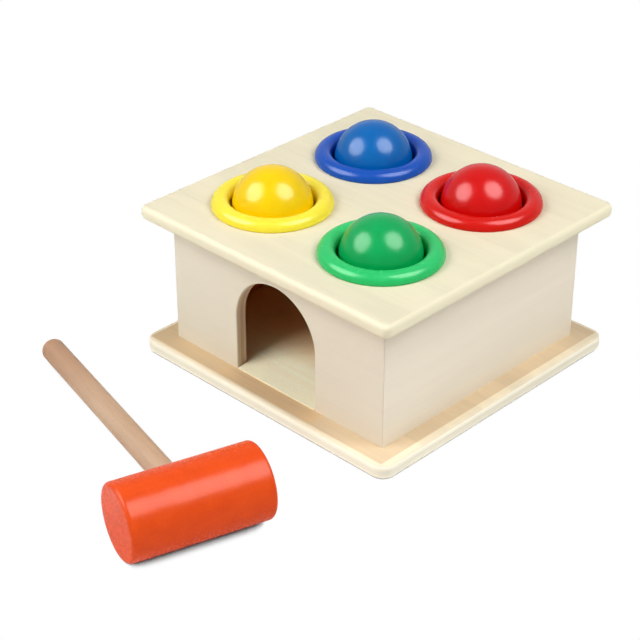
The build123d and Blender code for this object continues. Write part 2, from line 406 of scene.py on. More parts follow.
@dataclass(frozen=True)
class BeechFinish:
    """Solid beech with long fibres and the short dark flecks of its rays."""

    name: str
    light: Colour
    dark: Colour
    fleck: Colour
    origin: Vector
    turn: Euler
    fibres: Marks = Marks(26 * MM, 0.7 * MM, 4.0)
    bands: Marks = Marks(120 * MM, 5 * MM, 2.0, 0.5)
    rays: Marks = Marks(2.6 * MM, 0.34 * MM, 1.0)
    band_tone: Ease = (0.3, 0.7, 0.0, 0.7)
    fibre_tone: Ease = (0.4, 0.75, 0.0, 0.4)
    fleck_tone: Ease = (0.62, 0.72, 0.0, 0.35)
    rough: Ease = (0.3, 0.7, 0.42, 0.56)
    fibre_depth: float = 0.018 * MM
    sheen: float = 0.18
    patches: tuple[Patch, ...] = ()

    def material(self) -> Material:
        """Returns the finished material."""
        sheet = NodeSheet(bpy.data.materials.new(self.name))
        at = (sheet, Direction.Z, self.origin, self.turn)
        fibres, bands, rays = self.fibres.over(*at), self.bands.over(*at), self.rays.over(*at)
        band_tone = sheet.rise(bands, *self.band_tone)
        tone = sheet.math("ADD", band_tone, sheet.rise(fibres, *self.fibre_tone))
        wood = sheet.blend(tone, self.light, self.dark)
        for patch in self.patches:
            wood = sheet.blend(patch.share(sheet), wood, patch.colour)
        is_fleck = sheet.rise(rays, *self.fleck_tone)
        colour = sheet.blend(is_fleck, wood, self.fleck)
        rough = sheet.rise(fibres, *self.rough)
        pits = sheet.math("SUBTRACT", fibres, is_fleck)
        normal = sheet.relief([(pits, self.fibre_depth)])
        return sheet.finish(colour, rough, normal, Specular_IOR_Level=self.sheen)


@dataclass(frozen=True)
class EnamelFinish:
    """Enamel over turned wood, with its flow marks and the grain that shows through."""

    name: str
    colour: Colour
    deep: Colour
    origin: Vector
    turn: Euler
    rough: float = 0.2
    rough_below: float = 0.03
    rough_above: float = 0.06
    gloss: float = 0.15
    grain: Marks = Marks(34 * MM, 0.9 * MM, 3.0)
    peel: Marks = Marks(1.5 * MM, 1.5 * MM, 2.0)
    flow: Marks = Marks(9 * MM, 9 * MM, 1.0)
    flow_tone: Ease = (0.3, 0.7, 0.0, 0.5)
    grain_tone: Ease = (0.4, 0.8, 0.0, 0.4)
    peel_span: Span = (0.3, 0.7)
    grain_depth: float = 0.003 * MM
    peel_depth: float = 0.005 * MM
    flow_depth: float = 0.06 * MM

    def material(self) -> Material:
        """Returns the finished material."""
        sheet = NodeSheet(bpy.data.materials.new(self.name))
        grain = self.grain.over(sheet, Direction.Z, self.origin, self.turn)
        peel = self.peel.over(sheet, Direction.Z, self.origin)
        flow = self.flow.over(sheet, Direction.Z, self.origin)
        flow_tone = sheet.rise(flow, *self.flow_tone)
        pool = sheet.math("ADD", flow_tone, sheet.rise(grain, *self.grain_tone))
        colour = sheet.blend(pool, self.colour, self.deep)
        smoothest, roughest = self.rough - self.rough_below, self.rough + self.rough_above
        rough = sheet.rise(peel, *self.peel_span, smoothest, roughest)
        layers = [(flow, self.flow_depth), (peel, self.peel_depth), (grain, self.grain_depth)]
        normal = sheet.relief(layers)
        return sheet.finish(colour, rough, normal, Specular_IOR_Level=self.gloss)


@dataclass(frozen=True)
class MouldedFinish:
    """Soft moulded plastic: even colour, a fine mould texture and a low sheen."""

    name: str
    colour: Colour
    deep: Colour
    rough: Ease = (0.45, 0.75, 0.22, 0.29)
    mottle: Marks = Marks(6 * MM, 6 * MM, 2.0)
    mottle_tone: Ease = (0.3, 0.7, 0.0, 0.35)
    mottle_depth: float = 0.03 * MM
    texture: Marks = Marks(0.5 * MM, 0.5 * MM, 1.0)
    texture_depth: float = 0.0015 * MM
    scuffs: Marks = Marks(5 * MM, 5 * MM, 4.0, 1.0)
    gloss: float = 0.14

    def material(self) -> Material:
        """Returns the finished material."""
        sheet = NodeSheet(bpy.data.materials.new(self.name))
        mottle, texture = self.mottle.over(sheet), self.texture.over(sheet)
        colour = sheet.blend(sheet.rise(mottle, *self.mottle_tone), self.colour, self.deep)
        rough = sheet.rise(self.scuffs.over(sheet), *self.rough)
        normal = sheet.relief([(mottle, self.mottle_depth), (texture, self.texture_depth)])
        return sheet.finish(colour, rough, normal, Specular_IOR_Level=self.gloss)


@dataclass(frozen=True)
class ZincFinish:
    """Zinc-plated steel of the hidden screws and brads."""

    name: str
    colour: Colour = shade(186, 188, 190)
    dull: Colour = shade(150, 150, 146)
    spangle: Marks = Marks(0.8 * MM, 0.8 * MM, 3.0)
    spangle_span: Span = (0.35, 0.7)
    scratches: Marks = Marks(0.1 * MM, 0.1 * MM, 2.0)
    scratch_depth: float = 0.004 * MM
    rough: Ease = (0.3, 0.7, 0.26, 0.42)

    def material(self) -> Material:
        """Returns the finished material."""
        sheet = NodeSheet(bpy.data.materials.new(self.name))
        spangle, scratch = self.spangle.over(sheet), self.scratches.over(sheet)
        colour = sheet.blend(sheet.rise(spangle, *self.spangle_span), self.colour, self.dull)
        rough = sheet.rise(spangle, *self.rough)
        normal = sheet.relief([(scratch, self.scratch_depth)])
        return sheet.finish(colour, rough, normal, Metallic=1.0)


def soften(
    bm: Shape,
    parts: Iterable[bmesh.types.BMEdge | bmesh.types.BMVert],
    radius: float,
    segments: int,
    affect: str = "EDGES",
) -> None:
    """Rounds edges over, or the corners of a flat section.

    Args:
        bm: The mesh.
        parts: Its edges to round, or its corners.
        radius: How far in from each one the rounding starts.
        segments: How many facets it has.
        affect: EDGES for edges, VERTICES for corners.
    """
    rounding = {"offset_type": "OFFSET", "profile": 0.5, "material": -1, "clamp_overlap": True}
    geom = list(parts)
    bmesh.ops.bevel(bm, geom=geom, offset=radius, segments=segments, affect=affect, **rounding)


def turn_round(bm: Shape, section: list, middle: Vector, steps: int) -> None:
    """Turns a section about an upright axis into a closed ring or a solid.

    Args:
        bm: The mesh that holds the section.
        section: Its corners and edges.
        middle: A point on the axis.
        steps: How many facets the turn has.
    """
    whole = {"axis": (0, 0, 1), "angle": math.tau, "use_merge": True}
    bmesh.ops.spin(bm, geom=section, cent=middle, steps=steps, **whole)
    bmesh.ops.remove_doubles(bm, verts=bm.verts, dist=MERGED)


def edges_where(bm: Shape, test: Callable[[Vector], bool]) -> list[bmesh.types.BMEdge]:
    """Returns the edges both of whose ends pass a test of their place."""
    return [edge for edge in bm.edges if all(test(vert.co) for vert in edge.verts)]


def uprights(edges: Iterable[bmesh.types.BMEdge]) -> list[bmesh.types.BMEdge]:
    """Returns those of the edges that don't lie level."""
    return [e for e in edges if abs(e.verts[0].co.z - e.verts[1].co.z) > NEAR]


def block(low: Vector, high: Vector) -> Shape:
    """Makes a square block.

    Args:
        low: Its lowest corner.
        high: Its highest corner.

    Returns:
        The block's mesh.
    """
    bm = bmesh.new()
    bmesh.ops.create_cube(bm, size=1.0)
    bmesh.ops.scale(bm, vec=high - low, verts=bm.verts)
    bmesh.ops.translate(bm, vec=(low + high) / 2, verts=bm.verts)
    return bm


def add_rod(bm: Shape, radius: float, length: float, at: Matrix, segments: int) -> None:
    """Adds a round rod to a mesh.

    Args:
        bm: The mesh.
        radius: The rod's radius.
        length: The rod's length.
        at: The frame of its middle, with Z along it.
        segments: How many facets it has round it.
    """
    ends = {"cap_ends": True, "radius1": radius, "radius2": radius}
    bmesh.ops.create_cone(bm, segments=segments, depth=length, matrix=at, **ends)


def link(name: str, data: bpy.types.ID) -> bpy.types.Object:
    """Puts a mesh, a light or a camera into the scene.

    Args:
        name: The object's name.
        data: What the object shows.

    Returns:
        The object.
    """
    made = bpy.data.objects.new(name, data)
    bpy.context.scene.collection.objects.link(made)
    return made


def cut(body: Shape, tool: Shape) -> Shape:
    """Cuts one closed mesh out of another.

    Args:
        body: The mesh that is cut. It is used up.
        tool: The mesh that is taken away. It is used up.

    Returns:
        What is left of the body.
    """
    pair = []
    for name, shape in (("cut_body", body), ("cut_tool", tool)):
        bmesh.ops.recalc_face_normals(shape, faces=shape.faces)
        mesh = bpy.data.meshes.new(name)
        shape.to_mesh(mesh)
        shape.free()
        pair.append(link(name, mesh))
    boolean = pair[0].modifiers.new("cut", "BOOLEAN")
    boolean.operation = "DIFFERENCE"
    boolean.solver = "EXACT"
    boolean.object = pair[1]
    whole = pair[0].evaluated_get(bpy.context.evaluated_depsgraph_get())
    left = bmesh.new()
    left.from_mesh(whole.to_mesh())
    whole.to_mesh_clear()
    for used in pair:
        mesh = used.data
        bpy.data.objects.remove(used)
        bpy.data.meshes.remove(mesh)
    return left


def place(
    name: str,
    bm: Shape,
    material: Material,
    body: str,
    node: str,
    sharp_angle: float = 35.0,
) -> None:
    """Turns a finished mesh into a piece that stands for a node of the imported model.

    Args:
        name: The piece's name.
        bm: Its mesh, in place. It is used up.
        material: Its finish.
        body: The body that it rides on.
        node: The node that it stands for.
        sharp_angle: Edges that turn by more degrees than this stay crisp.
    """
    bmesh.ops.recalc_face_normals(bm, faces=bm.faces)
    for face in bm.faces:
        face.smooth = True
    mesh = bpy.data.meshes.new(name)
    bm.to_mesh(mesh)
    bm.free()
    mesh.set_sharp_from_angle(angle=math.radians(sharp_angle))
    mesh.materials.append(material)
    piece = link(name, mesh)
    weighted = piece.modifiers.new("even_shading", "WEIGHTED_NORMAL")
    weighted.keep_sharp = True
    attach(piece, body)
    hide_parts(node)
    LOG.info("%s: %d faces, rides on %s, stands for %s", name, len(mesh.polygons), body, node)


def dress(node: str, material: Material) -> None:
    """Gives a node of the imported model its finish.

    Args:
        node: The node's name.
        material: Its finish.
    """
    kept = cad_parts[node]
    kept.data.materials.clear()
    kept.data.materials.append(material)
    LOG.info("%s: kept as packed, with the finish %s", node, material.name)


@dataclass
class Boards:
    """The base board and the top board, both with rounded corners and eased edges."""

    base_corner: float = 8 * MM
    base_edge: float = 2.2 * MM
    top_corner: float = 5 * MM
    top_edge: float = 3.5 * MM
    corner_segments: int = 14
    edge_segments: int = 8
    hole_segments: int = 128
    collar_clearance: float = 0.2 * MM
    screw_head: float = 3.2 * MM
    screw_hole: float = 1.7 * MM
    screw_rim: float = 0.7 * MM
    screw_spread: float = 51.25 * MM
    screw_steps: int = 48
    wall_middle: float = 76 * MM
    wall_reach: float = 3.5 * MM
    overrun: float = 1 * MM
    base_tan: Colour = shade(223, 195, 155)
    base_streak: Colour = shade(233, 198, 153)
    base_sap: Colour = shade(224, 201, 167)
    base_rim: Colour = shade(247, 233, 204)
    front_rim: float = 2.6 * MM
    side_rim: float = 4.4 * MM
    rim_fade: float = 1 * MM
    sap_clear: float = 60 * MM
    sap_fade: float = 50 * MM
    sap_streaky: float = 0.3
    streak_across: Span = (-40 * MM, 41 * MM)
    streak_along: Span = (-2 * MM, 26 * MM)
    streak_fade: float = 8 * MM
    streak_streaky: float = 0.55
    base_figure: float = 0.84
    base_glue_strength: float = 0.5
    # Underside, darker than the top: painted shade that shows as a thin line along the bottom
    # rounding.
    base_underside_painted_shade: Colour = shade(206, 190, 162)
    # Ply of the base's edges, near white: the ply's pale colour, raised by a painted highlight of
    # the rounded edge.
    base_ply_and_painted_highlight: Colour = shade(255, 249, 228)
    base_glue: Colour = shade(216, 198, 162)
    top_cream: Colour = shade(230, 221, 193)
    top_under: Colour = shade(222, 208, 174)
    top_ply: Colour = shade(239, 231, 201)
    top_glue: Colour = shade(216, 204, 172)
    top_veneer: float = 0.3 * MM
    top_under_veneer: float = 0.9 * MM
    top_plies: int = 1
    top_glue_strength: float = 0.3

    def board(self, low: Vector, high: Vector, corner: float, edge: float) -> Shape:
        """Makes one board.

        Args:
            low: Its lowest corner.
            high: Its highest corner.
            corner: Radius of its four corners in plan.
            edge: Radius of its rims.

        Returns:
            The board's mesh.
        """
        bm = block(low, high)
        soften(bm, uprights(bm.edges), corner, self.corner_segments)
        for level in (low.z, high.z):
            rim = edges_where(bm, lambda co: abs(co.z - level) < NEAR)
            soften(bm, rim, edge, self.edge_segments)
        return bm

    def patches(self, low: Vector, high: Vector) -> tuple[Patch, ...]:
        """Returns the base board's right side, the streak at the doorway and the pale rim."""
        clear = self.sap_clear
        right = (0.0, low.y - clear), (high.x + clear, high.y + clear)
        doorway = tuple(
            (across, low.y + along) for across, along in zip(self.streak_across, self.streak_along)
        )
        inner_low = (low.x + self.front_rim, low.y + self.front_rim)
        inner_high = (high.x - self.side_rim, high.y - self.front_rim)
        return (
            Patch(self.base_sap, *right, self.sap_fade, self.sap_streaky),
            Patch(self.base_streak, *doorway, self.streak_fade, self.streak_streaky),
            Patch(self.base_rim, inner_low, inner_high, self.rim_fade, is_outside=True),
        )

    def base(self) -> None:
        """Builds the base board with its countersunk holes."""
        low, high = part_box("base_board")
        bm = self.board(low, high, self.base_corner, self.base_edge)
        tool = bmesh.new()
        for x, y in ((self.screw_spread, self.wall_middle), (self.wall_middle, self.screw_spread)):
            for mirror_x in (-1, 1):
                for mirror_y in (-1, 1):
                    foot = Vector((mirror_x * x, mirror_y * y, low.z - self.overrun))
                    self.countersink(tool, foot, high.z + self.overrun)
        bm = cut(bm, tool)
        colours = (self.base_underside_painted_shade, self.base_tan, self.base_ply_and_painted_highlight, self.base_glue)
        finish = PlywoodFinish(
            "base_plywood", Direction.Z, Direction.X, low.z, high.z, *colours,
            self.base_glue_strength, self.patches(low, high), figure=self.base_figure,
        )
        place("base_board_wood", bm, finish.material(), BENCH, "base_board")

    def countersink(self, bm: Shape, foot: Vector, top: float) -> None:
        """Adds the solid that a countersunk hole takes away.

        Args:
            bm: The mesh that it is added to.
            foot: The hole's middle, below the board.
            top: Height that the hole reaches.
        """
        rim = foot.z + self.overrun + self.screw_rim
        neck = rim + self.screw_head - self.screw_hole
        heads = [(foot.z, self.screw_head), (rim, self.screw_head)]
        levels = heads + [(neck, self.screw_hole), (top, self.screw_hole)]
        corners = [bm.verts.new((foot.x + radius, foot.y, height)) for height, radius in levels]
        corners.insert(0, bm.verts.new((foot.x, foot.y, foot.z)))
        corners.append(bm.verts.new((foot.x, foot.y, top)))
        chain = [bm.edges.new(pair) for pair in zip(corners, corners[1:])]
        turn_round(bm, corners + chain, foot, self.screw_steps)

    def ceiling_painted_shade(self) -> Patch:
        """Returns the top board's underside inside the walls, coloured with the painted shade of
        the box's inside.
        """
        reach = self.wall_middle - self.wall_reach
        return Patch(RAW_WOOD_PAINTED_SHADE, (-reach, -reach), (reach, reach), NEAR, is_upper=False)

    def top(self) -> None:
        """Builds the top board with the holes of its four collars."""
        low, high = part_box("top_board")
        bm = self.board(low, high, self.top_corner, self.top_edge)
        tool = bmesh.new()
        radius = COLLAR_NECK + self.collar_clearance
        depth = high.z - low.z + 2 * self.overrun
        for paint in Paint:
            ring_low, ring_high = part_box(f"collar_{paint.value}")
            middle = (ring_low + ring_high) / 2
            middle.z = (low.z + high.z) / 2
            add_rod(tool, radius, depth, Matrix.Translation(middle), self.hole_segments)
        bm = cut(bm, tool)
        colours = (self.top_under, self.top_cream, self.top_ply, self.top_glue)
        finish = PlywoodFinish(
            "top_plywood", Direction.Z, Direction.X, low.z, high.z, *colours,
            self.top_glue_strength, (self.ceiling_painted_shade(),), plies=self.top_plies,
            low_veneer=self.top_under_veneer, high_veneer=self.top_veneer,
        )
        place("top_board_wood", bm, finish.material(), BENCH, "top_board")

    def build(self) -> None:
        """Builds both boards."""
        self.base()
        self.top()


@dataclass
class Walls:
    """The four mitred walls. The front one has the arched doorway."""

    thickness: float = 7 * MM
    corner_ease: float = 0.4 * MM
    end_ease: float = 0.15 * MM
    arch_radius: float = 30 * MM
    lintel: float = 12 * MM
    doorway_edge: float = 0.8 * MM
    veneer: float = 1.1 * MM
    inner_veneer: float = 0.2 * MM
    arch_segments: int = 128
    ease_segments: int = 3
    edge_segments: int = 5
    overrun: float = 5 * MM
    cream: Colour = shade(232, 224, 204)
    # Left and right walls: a lighter copy of the same cream, painted light that evens them with
    # the front and rear.
    side_cream_painted_light: Colour = shade(240, 230, 211)
    ply: Colour = shade(232, 208, 178)
    glue: Colour = shade(160, 122, 88)
    glue_strength: float = 0.7
    figure: float = 0.96
    cross_share: float = 0.84

    def blank(self, low: Vector, high: Vector) -> Shape:
        """Makes a front wall without its doorway: a board with both ends mitred.

        Args:
            low: Its lowest corner.
            high: Its highest corner.

        Returns:
            The wall's mesh.
        """
        bm = block(low, high)
        for vert in bm.verts:
            if vert.co.y > (low.y + high.y) / 2:
                vert.co.x -= math.copysign(self.thickness, vert.co.x)
        outer = edges_where(bm, lambda co: abs(co.y - low.y) < NEAR)
        soften(bm, uprights(outer), self.corner_ease, self.ease_segments)
        return bm

    def doorway(self, bm: Shape, low: Vector, high: Vector) -> Shape:
        """Cuts the doorway and rounds its edges.

        Args:
            bm: The front wall. It is used up.
            low: The wall's lowest corner.
            high: The wall's highest corner.

        Returns:
            The wall with its doorway.
        """
        spring = high.z - self.lintel - self.arch_radius
        middle = Vector((0, (low.y + high.y) / 2, spring))
        through = Matrix.Translation(middle) @ Matrix.Rotation(math.radians(90), 4, "X")
        tool = bmesh.new()
        depth = self.thickness + 2 * self.overrun
        add_rod(tool, self.arch_radius, depth, through, self.arch_segments)
        sunk = [vert for vert in tool.verts if vert.co.z < spring - NEAR]
        bmesh.ops.translate(tool, vec=Vector((0, 0, low.z - spring - self.overrun)), verts=sunk)
        bm = cut(bm, tool)
        reach = self.arch_radius + NEAR
        inside = high.z - self.lintel + NEAR
        for level in (low.y, high.y):
            at_face = edges_where(
                bm,
                lambda co: abs(co.y - level) < NEAR and abs(co.x) < reach and co.z < inside,
            )
            rim = [e for e in at_face if any(v.co.z > low.z + NEAR for v in e.verts)]
            radius = self.doorway_edge if level == low.y else self.end_ease
            soften(bm, rim, radius, self.edge_segments)
        return bm

    def build(self) -> None:
        """Builds and turns each wall into its place."""
        for side in Side:
            node = f"{side.name.lower()}_panel"
            low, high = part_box("front_panel")
            low.x = low.y
            high.x = -low.y
            bm = self.blank(low, high)
            if side is Side.FRONT:
                bm = self.doorway(bm, low, high)
            turn = Matrix.Rotation(math.radians(side.value), 3, "Z")
            bmesh.ops.rotate(bm, cent=Vector(), matrix=turn, verts=bm.verts)
            # The side walls take the lighter, painted-light copy of the cream.
            through, grain, cream = Direction.X, Direction.Y, self.side_cream_painted_light
            if side in (Side.FRONT, Side.REAR):
                through, grain, cream = Direction.Y, Direction.X, self.cream
            # Inner faces take the deep red-brown painted shade of the box's inside.
            faces, veneers = (cream, RAW_WOOD_PAINTED_SHADE), (self.veneer, self.inner_veneer)
            if side in (Side.RIGHT, Side.REAR):
                faces, veneers = faces[::-1], veneers[::-1]
            ends = [corner[through.value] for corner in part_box(node)]
            finish = PlywoodFinish(
                f"{side.name.lower()}_plywood", through, grain, *ends, *faces, self.ply,
                self.glue, self.glue_strength, figure=self.figure,
                cross_share=self.cross_share, low_veneer=veneers[0], high_veneer=veneers[1],
            )
            name = f"{side.name.lower()}_wall_wood"
            place(name, bm, finish.material(), BENCH, node)


@dataclass
class Ramp:
    """The ramp, its wedges and all hidden fasteners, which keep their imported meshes."""

    birch: Colour = shade(255, 253, 220)
    birch_dark: Colour = shade(253, 242, 206)
    birch_fleck: Colour = shade(228, 204, 164)
    # Deeper part of the ramp, browner: painted shade where less light reaches inside the box.
    birch_painted_shade: Colour = shade(246, 210, 158)
    beech: Colour = shade(222, 196, 160)
    beech_dark: Colour = shade(200, 170, 132)
    beech_fleck: Colour = shade(166, 126, 90)
    painted_shade_start: float = 15 * MM
    painted_shade_fade: float = 30 * MM
    clear: float = 60 * MM

    def build(self) -> None:
        """Dresses the ramp, the wedges and the fasteners."""
        along_x = Euler((0, math.radians(90), 0))
        low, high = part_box("ramp_board")
        # The ramp darkens towards the back, behind the doorway: painted shade.
        start = (low.x - self.clear, low.y + self.painted_shade_start)
        end = (high.x + self.clear, high.y + self.clear)
        inside = Patch(self.birch_painted_shade, start, end, self.painted_shade_fade)
        birch = (self.birch, self.birch_dark, self.birch_fleck, Vector(), along_x)
        dress("ramp_board", BeechFinish("ramp_birch", *birch, patches=(inside,)).material())
        beech = (self.beech, self.beech_dark, self.beech_fleck, Vector())
        along_wedge = Euler((math.radians(90), 0, 0))
        wedge_wood = BeechFinish("wedge_beech", *beech, along_wedge).material()
        dress("ramp_wedge_left", wedge_wood)
        dress("ramp_wedge_right", wedge_wood)
        dress("top_dowels", BeechFinish("dowel_beech", *beech, Euler()).material())
        zinc = ZincFinish("zinc_plate").material()
        dress("base_screws", zinc)
        dress("ramp_brads", zinc)


@dataclass
class Collar:
    """A moulded collar: bead, neck, barb and turned-in lip, turned about its hole."""

    paint: Paint
    colour: Colour
    deep: Colour
    wall: float = 2.5 * MM
    bead_height: float = 6 * MM
    board_thickness: float = 8.5 * MM
    barb_reach: float = 1.1 * MM
    barb_height: float = 1.7 * MM
    barb_gap: float = 0.15 * MM
    lip_reach: float = 20.7 * MM
    lip_toe: float = 24 * MM
    foot_radius: float = 0.7 * MM
    outer_radius: float = 5.05 * MM
    inner_radius: float = 4.3 * MM
    bend_radius: float = 1.95 * MM
    lip_radius: float = 1.2 * MM
    barb_radius: float = 0.2 * MM
    barb_shoulder: float = 1.7 * MM / 3
    facet: float = 0.35 * MM
    least_facets: int = 2
    steps: int = 144
    crease: float = 60.0

    def section(
        self, bm: Shape, middle: Vector, low: float, high: float, reach: float
    ) -> None:
        """Draws the rounded section as a face beside the hole's axis.

        Args:
            bm: The mesh that it is drawn in.
            middle: A point on the hole's axis.
            low: Height of the lip's underside.
            high: Height of the bead's crest.
            reach: Outer radius of the bead.
        """
        inner = COLLAR_NECK - self.wall
        barb_end = COLLAR_NECK + self.barb_reach
        seat = high - self.bead_height
        barb_top = seat - self.board_thickness - self.barb_gap
        corners = [
            (COLLAR_NECK, seat, 0.0),
            (reach, seat, self.foot_radius),
            (reach, high, self.outer_radius),
            (inner, high, self.inner_radius),
            (inner, low + self.wall, self.bend_radius),
            (self.lip_reach, low + self.wall, self.lip_radius),
            (self.lip_reach, low, self.lip_radius),
            (self.lip_toe, low, self.lip_radius),
            (COLLAR_NECK, barb_top - self.barb_height, self.barb_radius),
            (barb_end, barb_top - self.barb_shoulder, self.barb_radius),
            (barb_end, barb_top, self.barb_radius),
            (COLLAR_NECK, barb_top, self.barb_radius),
        ]
        verts = [
            bm.verts.new((middle.x + radius, middle.y, height)) for radius, height, _ in corners
        ]
        bm.faces.new(verts)
        for vert, (_, _, radius) in zip(verts, corners):
            if radius:
                facets = max(self.least_facets, int(radius / self.facet))
                soften(bm, [vert], radius, facets, "VERTICES")

    def build(self) -> None:
        """Turns the section round and dresses the collar."""
        colour = self.paint.value
        node = f"collar_{colour}"
        low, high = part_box(node)
        middle = (low + high) / 2
        bm = bmesh.new()
        self.section(bm, middle, low.z, high.z, (high.x - low.x) / 2)
        bmesh.ops.delete(bm, geom=list(bm.faces), context="FACES_ONLY")
        turn_round(bm, list(bm.verts) + list(bm.edges), middle, self.steps)
        finish = MouldedFinish(f"moulded_{colour}", self.colour, self.deep)
        material = finish.material()
        place(f"collar_{colour}_moulding", bm, material, BENCH, node, self.crease)


@dataclass
class Ball:
    """A turned ball, a little out of round under its enamel."""

    paint: Paint
    colour: Colour
    deep: Colour
    subdivisions: int = 6
    wobble: float = 0.05 * MM
    wobble_size: float = 14 * MM
    grain_tilt: Euler = field(default_factory=lambda: Euler((0.5, 0.3, 0)))

    def build(self) -> None:
        """Builds and dresses the ball."""
        colour = self.paint.value
        node = f"ball_{colour}"
        low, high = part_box(node)
        middle = (low + high) / 2
        bm = bmesh.new()
        size = {"subdivisions": self.subdivisions, "radius": (high.x - low.x) / 2}
        bmesh.ops.create_icosphere(bm, matrix=Matrix.Translation(middle), **size)
        for vert in bm.verts:
            outward = (vert.co - middle).normalized()
            vert.co -= outward * self.wobble * (1 + noise.noise(vert.co / self.wobble_size)) / 2
        name = f"enamel_{colour}"
        finish = EnamelFinish(name, self.colour, self.deep, middle, self.grain_tilt)
        place(f"ball_{colour}_enamel", bm, finish.material(), node, node, ALL_SMOOTH)


@dataclass
class Mallet:
    """The mallet: a painted head on its side, and a plain handle set in it."""

    turn: float = math.radians(72.3)
    head_length: float = 77.4 * MM
    head_edge: float = 2.2 * MM
    handle_turn: float = math.radians(73)
    handle_diameter: float = 13.3 * MM
    handle_reach: float = 187.4 * MM
    handle_seat: float = 27 * MM
    tip_radius: float = 4 * MM
    seat_gap: float = 0.05 * MM
    end_gap: float = 0.4 * MM
    segments: int = 160
    edge_segments: int = 8
    tip_segments: int = 10
    paint: Colour = shade(232, 81, 26)
    paint_deep: Colour = shade(222, 72, 22)
    paint_rough: float = 0.25
    paint_gloss: float = 0.082
    paint_flow: float = 0.25 * MM
    beech: Colour = shade(197, 166, 137)
    beech_dark: Colour = shade(186, 151, 121)
    beech_fleck: Colour = shade(153, 117, 88)
    beech_tip: Colour = shade(175, 135, 105)
    tip_fade: float = 90 * MM
    middle: Vector = field(init=False)
    radius: float = field(init=False)
    tilt: float = field(init=False)

    def __post_init__(self) -> None:
        """Reads the head's place, and works out how far the handle dips to the floor."""
        low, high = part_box("mallet_head")
        self.middle = (low + high) / 2
        self.radius = (high.z - low.z) / 2
        along = self.handle_reach - self.tip_radius
        across = self.handle_diameter / 2 - self.tip_radius
        drop = math.asin((self.radius - self.tip_radius) / math.hypot(along, across))
        self.tilt = drop - math.atan2(across, along)

    def head_frame(self) -> Matrix:
        """Returns the head's frame, with Z along the head."""
        axis = Vector((math.cos(self.turn), math.sin(self.turn), 0))
        return Matrix.Translation(self.middle) @ axis.to_track_quat("Z", "Y").to_matrix().to_4x4()

    def handle_frame(self) -> Matrix:
        """Returns the handle's frame, with Z out along the handle from the head's middle."""
        turn = self.handle_turn
        level = Vector((-math.sin(turn), math.cos(turn), 0)) * math.cos(self.tilt)
        axis = level - Vector((0, 0, math.sin(self.tilt)))
        return Matrix.Translation(self.middle) @ axis.to_track_quat("Z", "Y").to_matrix().to_4x4()

    def rod(self, rod_frame: Matrix, radius: float, start: float, end: float) -> Shape:
        """Makes a round rod along a frame's Z.

        Args:
            rod_frame: The frame.
            radius: The rod's radius.
            start: Where it starts along Z.
            end: Where it ends along Z.

        Returns:
            The rod's mesh, in place.
        """
        bm = bmesh.new()
        middle = rod_frame @ Matrix.Translation(Vector((0, 0, (start + end) / 2)))
        add_rod(bm, radius, end - start, middle, self.segments)
        return bm

    def rim(self, bm: Shape, rod_frame: Matrix, level: float) -> list[bmesh.types.BMEdge]:
        """Returns the edges of a rod's end at one level of its frame's Z."""
        inverse = rod_frame.inverted()
        return edges_where(bm, lambda co: abs((inverse @ co).z - level) < NEAR)

    def build(self) -> None:
        """Builds and dresses the head and the handle."""
        head_frame, handle_frame = self.head_frame(), self.handle_frame()
        half = self.head_length / 2
        bm = self.rod(head_frame, self.radius, -half, half)
        for level in (-half, half):
            soften(bm, self.rim(bm, head_frame, level), self.head_edge, self.edge_segments)
        seat = self.radius - self.handle_seat
        handle_radius = self.handle_diameter / 2
        socket = self.rod(handle_frame, handle_radius + self.seat_gap, seat, self.radius * 2)
        bm = cut(bm, socket)
        paint = EnamelFinish(
            "enamel_mallet", self.paint, self.paint_deep, self.middle, head_frame.to_euler(),
            rough=self.paint_rough, gloss=self.paint_gloss, flow_depth=self.paint_flow,
        )
        place("mallet_head_enamel", bm, paint.material(), MALLET, "mallet_head")
        bm = self.rod(handle_frame, handle_radius, seat + self.end_gap, self.handle_reach)
        tip_rim = self.rim(bm, handle_frame, self.handle_reach)
        soften(bm, tip_rim, self.tip_radius, self.tip_segments)
        low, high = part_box("mallet_handle")
        clear = self.tip_fade
        corners = (low.x - 2 * clear, low.y - clear), (low.x + clear, high.y + clear)
        tip = Patch(self.beech_tip, *corners, clear)
        wood = BeechFinish(
            "handle_beech", self.beech, self.beech_dark, self.beech_fleck,
            self.middle, handle_frame.to_euler(), patches=(tip,),
        )
        place("mallet_handle_wood", bm, wood.material(), MALLET, "mallet_handle")


class Role(Enum):
    """What a lamp is for: to light matt colour, or to be mirrored in gloss."""

    LIGHT = "light"
    MIRRORED = "mirrored"


@dataclass(frozen=True)
class Lamp:
    """An oval soft lamp that faces the bench."""

    name: str
    role: Role
    direction: tuple[float, float, float]
    width: float
    height: float
    power: float
    distance: float = 1.6

    def hang(self) -> None:
        """Hangs the lamp."""
        data = bpy.data.lights.new(self.name, "AREA")
        data.shape = "ELLIPSE"
        data.size = self.width
        data.size_y = self.height
        data.energy = self.power
        lamp = link(self.name, data)
        toward = Vector(self.direction).normalized()
        lamp.location = toward * self.distance
        lamp.rotation_euler = toward.to_track_quat("Z", "Y").to_euler()
        lamp.visible_diffuse = self.role is Role.LIGHT
        lamp.visible_glossy = self.role is Role.MIRRORED


